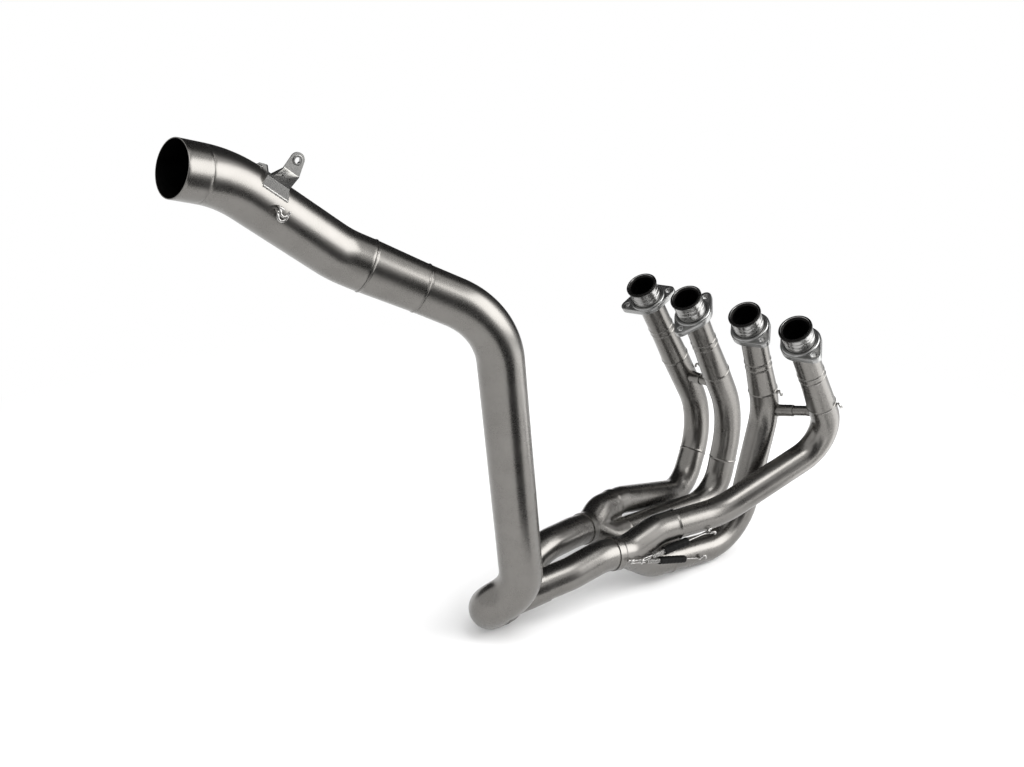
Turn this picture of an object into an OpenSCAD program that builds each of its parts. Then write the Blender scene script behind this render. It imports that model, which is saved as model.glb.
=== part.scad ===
// Four into two into one exhaust header with its link pipe, lying on a floor.
// X runs along the row of ports, Y towards the front of the machine, Z up; the floor is Z = 0.

/* [Ports] */
// Distance of the two outer ports from the middle of the row
outer_port_x = 137.5; // [130:0.5:150]
// Distance of the two inner ports from the middle of the row
inner_port_x = 52.5; // [46:0.5:58]
// Height of the port mouths above the floor
port_height = 385; // [375:1:395]
// Slope of the port axes below the horizontal
port_slope = 56; // [52:1:60]

/* [Primary tubes] */
// Outside diameter of a primary at its port
primary_d = 38; // [35:0.5:39]
// Outside diameter of a primary below its cone
header_d = 42; // [41:0.5:43]
// Thickness of the tube walls
wall = 1.2; // [1:0.1:1.6]
// How far a weld bead stands out of its tube
bead = 0.8; // [0.4:0.1:1.2]
// Distance along primaries 1, 2 and 4 from the mouth to the wide end of the cone
cone_end = 162; // [155:1:168]
// The same on primary 3, which bends sooner
short_cone_end = 146; // [138:1:148]

/* [Port spigots] */
// Outside diameter of the machined spigot
spigot_d = 44; // [43:0.5:45]
// Outside diameter of the lip around its mouth
lip_d = 47; // [45.5:0.5:48]
// Length of the spigot from mouth to heel
spigot_len = 34; // [32:0.5:37]

/* [Flanges] */
// Distance between the two stud holes of a flange
stud_pitch = 66; // [64:0.5:68]
// Radius of a stud hole
stud_hole_r = 4.2; // [3.6:0.1:4.6]
// Thickness of a flange plate
flange_t = 8; // [7:0.5:9]
// Play between a flange and the spigot that it turns on
flange_play = 0.3; // [0.25:0.05:0.4]

/* [Collectors and secondaries] */
// Outside diameter of the two secondary pipes
secondary_d = 45; // [44:0.5:46]
// Depth that a primary slides into its collector leg
slip_depth = 14; // [11:1:16]

/* [Link pipe] */
// Outside diameter of the lower link pipe
link_d = 57; // [56:0.5:58]
// Outside diameter of the upper link pipe and of the outlet sleeve
outlet_d = 61; // [60:0.5:62]
// Length from the last bend's corner to the outlet
outlet_len = 60; // [52:1:70]

/* [Bracket] */
// Thickness of the bracket's sheet
sheet_t = 2; // [1.5:0.1:2.5]
// Radius of the hole through the bush in the bracket's tab
tab_hole_r = 3.2; // [2.6:0.1:3.6]

/* [Balance tubes] */
// Outside diameter of the balance tubes' inner stub
balance_d = 15; // [14:0.5:16]
// Outside diameter of the sleeve that slides over it
balance_sleeve_d = 17.6; // [17:0.2:18.4]

/* [Hidden] */
$fn = 24;
// Sides of a swept tube, and how much its inner hoops grow so that their flats clear a round
facets = 16;
round_up = 1 / cos(180 / facets);
// Largest turn between two sections of a bend, in degrees
bend_step = 15;
// The rest pose: the header leans back onto its elbow, and the floor's middle is the origin
rest_tilt = 1.3;
floor_shift = [-2.97, 329.52, -0.19];
steel = [0.55, 0.54, 0.52];
bright = [0.72, 0.72, 0.71];

// Unit vector of the port axes, out of the mouths
mouth = [0, -cos(port_slope), sin(port_slope)];
port_x = [-outer_port_x, -inner_port_x, inner_port_x, outer_port_x];
// Angle of each flange's line of studs from +X, about the port axis
flange_turn = [43.5, 90, -24.5, -25];
// How far each flange lies below the heel of its spigot
flange_drop = [0.3, 5.3, 0.3, 0.3];

// Distance from a mouth to the slight bend below its flange, and that bend's radius
neck_at = 46;
neck_r = 60;
// The two weld rings that bound a primary's straight part, by distance from the mouth
ring_at = [91, 101];
// Where a primary starts inside its spigot
seat_at = 20;

leg_d = header_d + 2 * wall + 0.2;
outlet_collar_d = secondary_d + 1.8;
link_in = [-38, -394, 11 + link_d / 2];
elbow = [[-38, -439.5, 12 + link_d / 2], [17, -400, 63.5 + link_d / 2]];
knee = [43.5, -469, 486];
shoulder = [-39, -625, 577];
cone_dir = unit(shoulder - knee);
cone_a = knee + 97.5 * cone_dir;
cone_b = cone_a + 70 * cone_dir;
crook = [-58, -748, 677];
mouth_dir = unit([0, -55, 18]);
outlet = crook + outlet_len * mouth_dir;
sleeve_from = crook + 31 * mouth_dir;
near_out = [22, -233, 79];
near_dir = unit([-3, -20, 3]);
far_out = [-75, -187, 64];
far_dir = unit([3, -20, 4]);
rear_dir = unit(elbow[0] - link_in);

// Bend corners of the four primaries, from the mouth to the end in the collector
route = [
  [port(0), neck(0), port(0) + [0, 173, -266], [-117, 98, 12], [-95, -80, 67], [-90, -118, 70.5]],
  [port(1), neck(1), port(1) + [0, 134, -224], [-56, 107, 16], [-65.5, -55, 28], [-68, -116, 33.5]],
  [port(2), neck(2), port(2) + [-2.5, 76.5, -166], [46, 24, 12.5], [31, -113, 31.5], [29, -132, 34]],
  [port(3), neck(3), port(3) + [-3.5, 131, -205], [68, -47, 96], [44, -124, 93.6], [40.5, -136, 93.2]]
];
radii = [[98, 58, 74], [150, 59, 120], [90, 80, 120], [54, 138, 60]];

function unit(v) = v / norm(v);
function port(i) = [port_x[i], 0, port_height];
function neck(i) = port(i) - neck_at * mouth;
function turn(a, b, c) = acos(max(-1, min(1, unit(b - a) * unit(c - b))));
function side(z) = unit(cross(z, abs(z.z) < 0.9 ? [0, 0, 1] : [1, 0, 0]));

// Turns the modelled header into its rest pose on the floor
module placed() {
  translate(floor_shift) rotate([rest_tilt, 0, 0]) children();
}

module axes_at(o, x, z) {
  y = cross(z, x);
  multmatrix([[x.x, y.x, z.x, o.x], [x.y, y.y, z.y, o.y], [x.z, y.z, z.z, o.z], [0, 0, 0, 1]])
    children();
}

module along(o, z) {
  axes_at(o, side(z), z) children();
}

// Centre and direction at share f of the bend round corner i of route p
function on_bend(p, r, i, f) = let (
  u = unit(p[i] - p[i - 1]), t = turn(p[i - 1], p[i], p[i + 1]), z = unit(cross(u, unit(p[i + 1] - p[i]))),
  x = cross(u, z), o = p[i] - r * tan(t / 2) * u - r * x, q = t * f)
  [o + r * (cos(q) * x + sin(q) * u), cos(q) * u - sin(q) * x];

// Sections along a bent pipe: [centre, direction, radius]
function bend_steps(p, i) = max(2, ceil(turn(p[i - 1], p[i], p[i + 1]) / bend_step));
function pipe(p, r, d) = [for (s = concat(
  [[p[0], unit(p[1] - p[0])]],
  [for (i = [1:len(p) - 2]) let (n = bend_steps(p, i)) for (k = [0:n]) on_bend(p, r[i - 1], i, k / n)],
  [[p[len(p) - 1], unit(p[len(p) - 1] - p[len(p) - 2])]])) [s[0], s[1], d / 2]];
// A weld bead: three sections that swell from the tube and back
function weld(o, z, d) = [[o - 1.4 * z, z, d / 2], [o, z, d / 2 + bead], [o + 1.4 * z, z, d / 2]];

// One side vector per section, carried along without twist
function sides(s) = [for (i = 0, v = side(s[0][1]); i < len(s); i = i + 1,
  v = i < len(s) ? unit(v - (v * s[i][1]) * s[i][1]) : v) v];
function hoops(s, k) = let (v = sides(s)) [for (i = [0:len(s) - 1]) let (w = cross(s[i][1], v[i]))
  for (j = [0:facets - 1]) let (q = 360 * j / facets) s[i][0] + k * s[i][2] * (cos(q) * v[i] + sin(q) * w)];
function skin(m, o, flip) = let (n = facets) [for (i = [0:m - 2], j = [0:n - 1]) let (
    a = o + i * n + j, b = o + i * n + (j + 1) % n, c = b + n, d = a + n)
  each (flip ? [[a, c, b], [a, d, c]] : [[a, b, c], [a, c, d]])];

// A swept solid through its sections from number a to number b
module sweep(s, a = 0, b = -1) {
  n = facets;
  m = (b < 0 ? len(s) - 1 : b) - a + 1;
  h = hoops(s, 1);
  polyhedron(points = [for (i = [a * n:(a + m) * n - 1]) h[i]], faces = concat(skin(m, 0, true),
    [[for (j = [0:n - 1]) j]], [[for (j = [0:n - 1]) m * n - 1 - j]]));
}

// A swept tube: outer sections and inner ones, closed by a flat ring at either end
module tube(s, t) {
  n = facets;
  k = len(s) * n;
  e = k - n;
  f = k + (len(t) - 1) * n;
  rim = [for (j = [0:n - 1]) let (i = (j + 1) % n) each [[j, i, k + i], [j, k + i, k + j]]];
  tip = [for (j = [0:n - 1]) let (i = (j + 1) % n) each [[e + i, e + j, f + i], [e + j, f + j, f + i]]];
  polyhedron(points = concat(hoops(s, 1), hoops(t, round_up)),
    faces = concat(skin(len(s), 0, true), skin(len(t), k, false), rim, tip));
}

// A primary: narrow from its seat in the spigot, a cone between two weld rings, then wide
function cone_end_of(i) = i == 2 ? short_cone_end : cone_end;
function below_neck(i) = unit(route[i][2] - route[i][1]);
function on_straight(i, s) = route[i][1] + (s - neck_at) * below_neck(i);
function upper(i, to) = [port(i) - seat_at * mouth, route[i][1], on_straight(i, to)];
function lower(i) = [on_straight(i, cone_end_of(i) + 1.5), for (k = [2:5]) route[i][k]];
function outside(i) = let (u = below_neck(i)) concat(
  pipe(upper(i, ring_at[0] - 2), [neck_r], primary_d),
  weld(on_straight(i, ring_at[0]), u, primary_d), weld(on_straight(i, ring_at[1]), u, primary_d),
  weld(on_straight(i, cone_end_of(i)), u, header_d),
  [for (k = [1:len(pipe(lower(i), radii[i], header_d)) - 1]) pipe(lower(i), radii[i], header_d)[k]]);

module primary(i) {
  color(steel) placed() tube(outside(i), concat(
    pipe(upper(i, ring_at[1]), [neck_r], primary_d - 2 * wall), pipe(lower(i), radii[i], header_d - 2 * wall)));
}

module primary_1() { primary(0); }
module primary_2() { primary(1); }
module primary_3() { primary(2); }
module primary_4() { primary(3); }

// A machined spigot: flared lip, two shallow grooves and a heel for the flange
module spigot(i) {
  seat_r = primary_d / 2 + 0.05;
  bore_r = primary_d / 2 - wall;
  r = spigot_d / 2;
  color(bright) placed() axes_at(port(i), [1, 0, 0], -mouth) rotate_extrude() polygon([
    [seat_r, seat_at], [seat_r, spigot_len], [r - 0.8, spigot_len], [r, spigot_len - 0.8],
    [r, seat_at], [r - 0.7, seat_at - 0.6], [r - 0.7, seat_at - 1.6], [r, seat_at - 2.2], [r, 5.6],
    [lip_d / 2, 3.4], [lip_d / 2, 1], [lip_d / 2 - 1, 0], [bore_r + 2.8, 0], [bore_r, 3],
    [bore_r, seat_at - 0.05], [seat_r, seat_at - 0.05]]);
}

module spigot_1() { spigot(0); }
module spigot_2() { spigot(1); }
module spigot_3() { spigot(2); }
module spigot_4() { spigot(3); }

// A two-eared flange: it lies loose under the spigot's heel and turns about it
module flange(i) {
  ear = 9.5;
  disc = spigot_d / 2 + 6.5;
  far = stud_pitch / 2;
  a = acos((disc - ear) / far);
  tangent_r = disc - 0.05;
  ear_r = ear - 0.05;
  top = spigot_len + flange_drop[i] - 5;
  color(bright) placed() axes_at(port(i), [1, 0, 0], -mouth) rotate(-flange_turn[i]) difference() {
    union() {
      translate([0, 0, top]) linear_extrude(height = flange_t) difference() {
        union() {
          circle(r = disc);
          for (s = [-1, 1]) {
            translate([s * far, 0]) circle(r = ear);
            polygon([[0, 0], [s * tangent_r * cos(a), tangent_r * sin(a)],
              [s * (far + ear_r * cos(a)), ear_r * sin(a)], [s * (far + ear_r * cos(a)), -ear_r * sin(a)],
              [s * tangent_r * cos(a), -tangent_r * sin(a)]]);
          }
        }
        for (s = [-1, 1]) {
          translate([s * far, 0]) circle(r = stud_hole_r);
          translate([s * (far - 8.6), s * 3.4]) circle(r = 1.1);
        }
      }
      translate([0, 0, top + flange_t]) cylinder(h = 3, r1 = disc - 1.5, r2 = disc - 3.5);
      translate([0, 0, top - 2]) cylinder(h = 2, r1 = disc - 2.5, r2 = disc - 1.5);
    }
    translate([0, 0, top - 3]) cylinder(h = 8, r = spigot_d / 2 + flange_play);
    translate([0, 0, top - 3]) cylinder(h = flange_t + 9, r = primary_d / 2 + flange_play);
  }
}

module flange_1() { flange(0); }
module flange_2() { flange(1); }
module flange_3() { flange(2); }
module flange_4() { flange(3); }

// Two legs that bend together into one round outlet, cut hollow as one
module merge(pa, ra, pb, rb, o, z, d_leg, d_out, len_out) {
  function longer(p) = [for (k = [0:len(p) - 1]) k == 0 ? p[0] - unit(p[1] - p[0]) : p[k]];
  difference() {
    union() {
      sweep(pipe(pa, ra, d_leg));
      sweep(pipe(pb, rb, d_leg));
      sweep(concat([[o - len_out * z, z, d_out / 2]], weld(o - 1.4 * z, z, d_out)));
    }
    sweep(pipe(longer(pa), ra, (d_leg - 2 * wall) * round_up));
    sweep(pipe(longer(pb), rb, (d_leg - 2 * wall) * round_up));
    sweep([[o - (len_out - wall) * z, z, d_out / 2 - wall], [o + z, z, d_out / 2 - wall]]);
  }
}

near_a = near_out - 4 * near_dir + [0, 0, 0.35];
near_b = near_out - 4 * near_dir - [0, 0, 0.35];
far_a = far_out - 4 * far_dir + [-0.2, 0, 0.35];
far_b = far_out - 4 * far_dir + [0.2, 0, -0.35];

function leg_dir(i) = unit(route[i][5] - route[i][4]);
function leg_in(i) = route[i][5] - slip_depth * leg_dir(i);
// Where a leg starts to bend: on the axis of the primary that slides into it
function leg_bend(i, l) = route[i][5] + l * leg_dir(i);

module collector_near() {
  color(steel) placed()
    merge([leg_in(3), leg_bend(3, 15), near_a - 26 * near_dir, near_a], [50, 45],
      [leg_in(2), leg_bend(2, 20), near_b - 22 * near_dir, near_b], [60, 36],
      near_out, near_dir, leg_d, outlet_collar_d, 12);
}

module collector_far() {
  color(steel) placed()
    merge([leg_in(0), leg_bend(0, 18), far_a - 18 * far_dir, far_a], [40, 36],
      [leg_in(1), leg_bend(1, 18), far_b - 16 * far_dir, far_b], [40, 30],
      far_out, far_dir, leg_d, outlet_collar_d, 12);
}

near_sec = [near_out, near_out + 17 * near_dir, [10, -301, 71], [-7, -352, 62]];
far_sec = [far_out, far_out + 24 * far_dir, [-61, -276, 77], [-56, -320, 68]];

module secondary(p, r) {
  color(steel) placed() tube(pipe(p, r, secondary_d), pipe(p, r, secondary_d - 2 * wall));
}

module secondary_near() { secondary(near_sec, [64, 78]); }
module secondary_far() { secondary(far_sec, [67, 80]); }

module collector_rear() {
  na = near_sec[3];
  fa = far_sec[3];
  a = link_in - 6 * rear_dir + [0.4, 0, 0.2];
  b = link_in - 6 * rear_dir - [0.4, 0, 0.2];
  color(steel) placed() merge([na + [3.9, 11.5, 2.1], na + [-4, -12, -3], a - 14 * rear_dir, a], [24, 24],
    [fa + [-1.4, 12.2, 2.5], fa + [1.5, -13, -3], b - 16 * rear_dir, b], [30, 30],
    link_in, rear_dir, secondary_d + 2 * wall + 0.2, link_d + 1.8, 12);
}

module link_lower() {
  p = [link_in, elbow[0], elbow[1], knee, cone_a];
  r = [link_d / 2 + 0.5, 60, 104];
  color(steel) placed() tube(pipe(p, r, link_d), pipe(p, r, link_d - 2 * wall));
}

// The conical spool between the link pipe's two weld rings
module link_cone() {
  z = cone_dir;
  color(steel) placed() tube(
    concat(weld(cone_a + 1.4 * z, z, link_d), weld(cone_b - 1.4 * z, z, outlet_d)),
    [[cone_a, z, link_d / 2 - wall], [cone_b, z, outlet_d / 2 - wall]]);
}

upper_link = [cone_b, shoulder, crook, sleeve_from];
upper_r = [86, 150];

module link_upper() {
  color(steel) placed() tube(pipe(upper_link, upper_r, outlet_d), pipe(upper_link, upper_r, outlet_d - 2 * wall));
}

// The true round end that the silencer clamps over
module outlet_sleeve() {
  len_sleeve = norm(outlet - sleeve_from);
  color(steel) placed() along(sleeve_from, mouth_dir) difference() {
    cylinder(h = len_sleeve, r = outlet_d / 2);
    translate([0, 0, -1]) cylinder(h = len_sleeve + 2, r = outlet_d / 2 - wall);
  }
}

// Where the balance tubes meet the four primaries' centrelines
cross_at = [on_straight(0, 208), on_straight(1, 195), on_bend(route[2], radii[2][0], 2, 0.55)[0],
  on_straight(3, 181)];

// Half a balance tube, from primary i towards primary j, cut to sit on the primary's wall
module balance(i, j, share, d) {
  o = cross_at[i];
  u = unit(cross_at[j] - o);
  from = 8;
  to = share * norm(cross_at[j] - o);
  color(steel) placed() difference() {
    along(o, u) difference() {
      union() {
        translate([0, 0, from]) cylinder(h = to - from, r = d / 2);
        translate([0, 0, from]) cylinder(h = header_d / 2 + 2.5 - from, r = d / 2 + 1.4);
      }
      translate([0, 0, from - 1]) cylinder(h = to, r = d / 2 - wall);
    }
    sweep(outside(i), 12, 18);
  }
}

module balance_sleeve_1() { balance(0, 1, 0.5, balance_sleeve_d); }
module balance_stub_2() { balance(1, 0, 0.62, balance_d); }
module balance_sleeve_3() { balance(2, 3, 0.5, balance_sleeve_d); }
module balance_stub_4() { balance(3, 2, 0.62, balance_d); }

// The bracket's own axes on the upper link pipe: X outboard, Y up along the pipe, Z away from it
bracket_y = unit(shoulder - crook);
bracket_x = unit(cross(bracket_y, [0, 0, 1]));
bracket_at = crook + 49 * bracket_y;
bracket_out = outlet_d / 2 - 3.5;
bracket_rise = outlet_d / 2 - 5.5;
lug_out = 5;
lug_rise = outlet_d / 2 + 13;
lug_hole = [7, 13.5];

module at_bracket() {
  axes_at(bracket_at, bracket_x, cross(bracket_x, bracket_y)) children();
}

// Folded sheet: a wall that stands on the pipe, a sloping middle, a lug and an end gusset
module bracket() {
  slope = [lug_out - bracket_out, 0, lug_rise - bracket_rise];
  down = [-1, 0, 0];
  color(bright) placed() difference() {
    at_bracket() {
      axes_at([bracket_out, 0, 0], [0, 0, 1], down) linear_extrude(height = sheet_t)
        polygon([[bracket_rise, -24], [9, -22.5], [9, 14.3], [bracket_rise, 5]]);
      axes_at([bracket_out, 0, bracket_rise], unit(slope), cross(unit(slope), [0, 1, 0]))
        linear_extrude(height = sheet_t) difference() {
          polygon([[0, -24], [0, 5], [norm(slope), 19], [norm(slope), -2]]);
          for (s = [-4, 6]) translate([norm(slope) / 2, s]) circle(r = 1.4);
        }
      axes_at([lug_out, 0, lug_rise], [0, 0, 1], down) linear_extrude(height = sheet_t) difference() {
        union() {
          polygon([[-1.6, -2], [-1.6, 19], [lug_hole.y + 1, 15.2], [lug_hole.y + 1, -1.2]]);
          translate([lug_hole.y, lug_hole.x]) circle(r = 8.2);
        }
        translate([lug_hole.y, lug_hole.x]) circle(r = tab_hole_r + 1.2);
      }
      axes_at([0, -24 + sheet_t, 0], [1, 0, 0], [0, -1, 0]) linear_extrude(height = sheet_t)
        polygon([[bracket_out, 12], [bracket_out, bracket_rise], [12, outlet_d / 2 + 4],
          [-4, outlet_d / 2 + 3], [-9, outlet_d / 2 - 4]]);
    }
    sweep(pipe(upper_link, upper_r, outlet_d));
  }
}

// The flanged bush that is rolled into the lug's hole
module bracket_bush() {
  r = tab_hole_r;
  h = sheet_t + 2;
  color(bright) placed() at_bracket()
    axes_at([lug_out + 1, lug_hole.x, lug_rise + lug_hole.y], [0, 1, 0], [-1, 0, 0])
      rotate_extrude() polygon([[r, 0], [r, h], [r + 2.4, h], [r + 2.4, h - 1], [r + 1.2, h - 1],
        [r + 1.2, 1], [r + 2.4, 1], [r + 2.4, 0]]);
}

primary_1();
primary_2();
primary_3();
primary_4();
spigot_1();
spigot_2();
spigot_3();
spigot_4();
flange_1();
flange_2();
flange_3();
flange_4();
collector_near();
collector_far();
secondary_near();
secondary_far();
collector_rear();
link_lower();
link_cone();
link_upper();
outlet_sleeve();
balance_sleeve_1();
balance_stub_2();
balance_sleeve_3();
balance_stub_4();
bracket();
bracket_bush();
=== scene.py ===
import math
import bmesh
import bpy
import numpy as np
from mathutils import Matrix, Vector


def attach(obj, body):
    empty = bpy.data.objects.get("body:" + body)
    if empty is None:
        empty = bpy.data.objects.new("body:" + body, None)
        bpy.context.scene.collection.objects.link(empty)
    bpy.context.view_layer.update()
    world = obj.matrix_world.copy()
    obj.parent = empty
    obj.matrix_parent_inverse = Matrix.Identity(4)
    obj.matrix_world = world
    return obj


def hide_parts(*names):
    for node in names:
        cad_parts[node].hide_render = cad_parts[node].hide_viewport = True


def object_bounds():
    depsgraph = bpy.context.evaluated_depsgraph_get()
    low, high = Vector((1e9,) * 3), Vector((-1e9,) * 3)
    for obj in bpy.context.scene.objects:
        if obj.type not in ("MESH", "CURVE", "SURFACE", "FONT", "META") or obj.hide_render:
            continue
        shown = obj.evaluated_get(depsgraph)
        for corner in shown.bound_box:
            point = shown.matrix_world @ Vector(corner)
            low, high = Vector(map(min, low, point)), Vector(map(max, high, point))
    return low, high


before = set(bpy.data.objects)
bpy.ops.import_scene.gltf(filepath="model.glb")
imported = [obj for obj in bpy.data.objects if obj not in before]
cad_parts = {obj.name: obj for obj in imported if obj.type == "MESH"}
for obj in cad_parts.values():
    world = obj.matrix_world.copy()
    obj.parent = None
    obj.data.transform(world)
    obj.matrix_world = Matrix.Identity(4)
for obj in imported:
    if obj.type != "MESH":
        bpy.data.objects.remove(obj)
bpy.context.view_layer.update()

print("frame loaded")

# The header is written upright in millimetres, as the CAD source has it, and leans back onto its elbow
restPose = {"lean": 1.3, "shift": (-2.97, 329.52, -0.19)}
leanAngle = math.radians(restPose["lean"])
leanTurn = np.array([[1, 0, 0],
                     [0, math.cos(leanAngle), -math.sin(leanAngle)],
                     [0, math.sin(leanAngle), math.cos(leanAngle)]])


def turned(v):
    # a direction of the upright header, turned by the lean
    return np.asarray(v, float) @ leanTurn.T


def placed(p):
    # upright millimetres to metres on the floor: turn by the lean, add the shift, divide by a thousand
    return (turned(p) + np.array(restPose["shift"])) / 1000


def unit(v):
    v = np.asarray(v, float)
    return v / np.linalg.norm(v)


def softened(points, width):
    # running mean of a path's points over so many samples, the ends continued by point reflection
    half = width // 2
    if half < 1 or len(points) < 2 * half + 2:
        return points
    head = 2 * points[0] - points[half:0:-1]
    tail = 2 * points[-1] - points[-2:-half - 2:-1]
    full = np.vstack([head, points, tail])
    even = np.ones(2 * half + 1) / (2 * half + 1)
    mean = np.column_stack([np.convolve(full[:, k], even, "valid") for k in range(3)])
    mean[0], mean[-1] = points[0], points[-1]
    return mean


def asPath(points, soften=0, sample=0.5):
    # a polyline resampled at even arc length, with tangents and side vectors that don't twist about it
    points = np.asarray(points, float)
    run = np.r_[0, np.cumsum(np.linalg.norm(np.diff(points, axis=0), axis=1))]
    even = np.linspace(0, run[-1], max(8, int(run[-1] / sample)) + 1)
    p = np.column_stack([np.interp(even, run, points[:, k]) for k in range(3)])
    p = softened(p, soften)
    s = np.r_[0, np.cumsum(np.linalg.norm(np.diff(p, axis=0), axis=1))]
    t = np.gradient(p, axis=0)
    t /= np.linalg.norm(t, axis=1)[:, None]
    side = np.cross(t[0], (0, 0, 1) if abs(t[0][2]) < 0.9 else (1, 0, 0))
    sides = np.empty_like(t)
    for i in range(len(t)):          # one step per station of the path
        side = side - (side @ t[i]) * t[i]
        side /= np.linalg.norm(side)
        sides[i] = side
    return {"s": s, "p": p, "t": t, "v": sides, "w": np.cross(t, sides)}


def bentPath(corners, radii, soften=17):
    # straights joined by arcs: start + r sin(a) along + r (1 - cos(a)) inward, for a from 0 to the turn
    c = [np.asarray(k, float) for k in corners]
    runs = [c[0][None]]
    for i, r in enumerate(radii, 1):
        u, w = unit(c[i] - c[i - 1]), unit(c[i + 1] - c[i])
        angle = math.acos(float(np.clip(u @ w, -1, 1)))
        start = c[i] - r * math.tan(angle / 2) * u
        inward = unit(w - (w @ u) * u)
        a = np.linspace(0, angle, max(4, int(r * angle)))[:, None]
        runs.append(start + r * np.sin(a) * u + r * (1 - np.cos(a)) * inward)
    runs.append(c[-1][None])
    return asPath(np.vstack(runs), soften)


def straightPath(a, b):
    return asPath(np.array([a, b], float))


def at(path, s, key):
    # a value of the path at arc length s, carried on in a straight line past its ends
    s = np.asarray(s, float)
    out = np.column_stack([np.interp(s, path["s"], path[key][:, k]) for k in range(3)])
    if key == "p":
        out += np.minimum(s, 0)[:, None] * path["t"][0]
        out += np.maximum(s - path["s"][-1], 0)[:, None] * path["t"][-1]
    return out


def circleAlong(path, s, radius):
    # point = centre(s) + radius (cos(angle) side + sin(angle) up), with a radius for each station and angle;
    # straight = the same point of the straightened tube: radius cos(angle), radius sin(angle), s
    around = radius.shape[1]
    angle = np.arange(around) * 2 * np.pi / around
    cos, sin = np.cos(angle), np.sin(angle)
    ring = cos[None, :, None] * at(path, s, "v")[:, None, :] + sin[None, :, None] * at(path, s, "w")[:, None, :]
    points = at(path, s, "p")[:, None, :] + radius[:, :, None] * ring
    straight = np.stack([radius * cos, radius * sin, np.repeat(s[:, None], around, axis=1)], axis=-1)
    return points.reshape(-1, 3), straight.reshape(-1, 3)


def gridFaces(rows, around, closed):
    # quads between neighbouring rows of a grid that is closed around, and from last row to first if closed
    i = np.arange(rows if closed else rows - 1)[:, None]
    j = np.arange(around)[None, :]
    after, beside = (i + 1) % rows * around, (j + 1) % around
    return np.stack([i * around + j, after + j, after + beside, i * around + beside], axis=-1).reshape(-1, 4)


def linkObject(name, data):
    made = bpy.data.objects.new(name, data)
    bpy.context.scene.collection.objects.link(made)
    return made


def makeMesh(name, points, faces, slots=None, straight=None, heat=None):
    # points in upright millimetres; slots give each face's material, straight and heat are point attributes
    mesh = bpy.data.meshes.new(name)
    mesh.from_pydata(placed(points), [], faces)
    mesh.polygons.foreach_set("use_smooth", np.ones(len(mesh.polygons), bool))
    if slots is not None:
        mesh.polygons.foreach_set("material_index", np.asarray(slots, np.int32))
    if straight is not None:
        layer = mesh.attributes.new("straight", "FLOAT_VECTOR", "POINT")
        layer.data.foreach_set("vector", (straight / 1000).ravel())
    layer = mesh.attributes.new("heat", "FLOAT", "POINT")
    if heat is not None:
        layer.data.foreach_set("value", heat)
    mesh.update()
    return linkObject(name, mesh)


weldRing = {"bead": 0.8, "spread": 1.15, "reach": 3.6, "samples": 19, "clear": 4.2, "heatReach": 4.0}


def latheAlong(name, path, profile, around=96, relief=None, hot=(), sharp=28):
    # a closed profile of (length, radius, material) rows carried round a bent axis. It is turned round where the
    # sum of length times next radius, less next length times radius, is negative, so that faces look outwards
    profile = np.asarray(profile, float)
    after = np.roll(profile, -1, axis=0)
    if np.sum(profile[:, 0] * after[:, 1] - after[:, 0] * profile[:, 1]) < 0:
        profile = profile[::-1]
    s, kind = profile[:, 0], profile[:, 2].astype(int)
    radius = np.repeat(profile[:, 1:2], around, axis=1)
    if relief is not None:
        angle = np.arange(around) * 2 * np.pi / around
        radius = radius + relief(s[:, None], angle[None, :]) * (kind[:, None] == 0)
    points, straight = circleAlong(path, s, radius)
    heat = np.zeros(len(s))
    for h in hot:
        heat = np.maximum(heat, np.exp(-np.abs(s - h) / weldRing["heatReach"]))
    heat = heat * (kind == 0)
    rowKind = np.maximum(kind, np.roll(kind, -1))
    made = makeMesh(name, points, gridFaces(len(s), around, True).tolist(), np.repeat(rowKind, around),
                    straight, np.repeat(heat, around))
    made.data.set_sharp_from_angle(angle=math.radians(sharp))
    return made


def stationsFor(length, rings, spacing=3.0):
    # even stations, with finer ones over each weld ring
    even = np.linspace(0.5, length - 0.5, int(length / spacing))
    if not rings:
        return even
    over = np.linspace(-weldRing["reach"], weldRing["reach"], weldRing["samples"])
    fine = np.concatenate([g + over for g in rings])
    keep = even[np.all(np.abs(even[:, None] - np.array(rings)[None, :]) > weldRing["clear"], axis=1)]
    return np.sort(np.concatenate([keep, fine[(fine > 0.6) & (fine < length - 0.6)]]))


def ringSwell(s, g):
    # a weld ring's height: bead times e to minus the square of its distance over its spread
    return weldRing["bead"] * np.exp(-((s - g) / weldRing["spread"]) ** 2)


def wallProfile(length, outer, wall, rings=(), rim=0.35):
    # outer wall with gaussian weld rings, rounded rims, and the inner wall back again, whose rows take the second
    # material, the near-black painted shade inside the pipe
    s = stationsFor(length, rings)
    r = outer(s)
    for g in rings:
        r = r + ringSwell(s, g)
    a, b = outer(np.array([0.0, length]))
    between = (s > rim + 0.2) & (s < length - rim - 0.2)
    back = np.linspace(length - 0.6, 0.6, max(6, int(length / 6)))
    rows = [(0.0, a - rim, 0), (0.1, a - 0.1, 0), (rim, a, 0)]
    rows += [(x, y, 0) for x, y in zip(s[between], r[between])]
    rows += [(length - rim, b, 0), (length - 0.1, b - 0.1, 0), (length, b - rim, 0),
             (length, b - wall + rim, 0), (length - 0.1, b - wall, 1)]
    rows += [(x, y - wall, 1) for x, y in zip(back, outer(back))]
    return rows + [(0.1, a - wall, 1), (0.0, a - wall + rim, 0)]


def beadRelief(rings):
    # the welder's ripple: each ring swells and thins a little on the way round
    def relief(s, angle):
        out = 0 * s * angle
        for k, g in enumerate(rings):
            out = out + ringSwell(s, g) * (0.12 * np.sin(17 * angle + 2 * k) + 0.1 * np.sin(41 * angle + k))
        return out
    return relief


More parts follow.
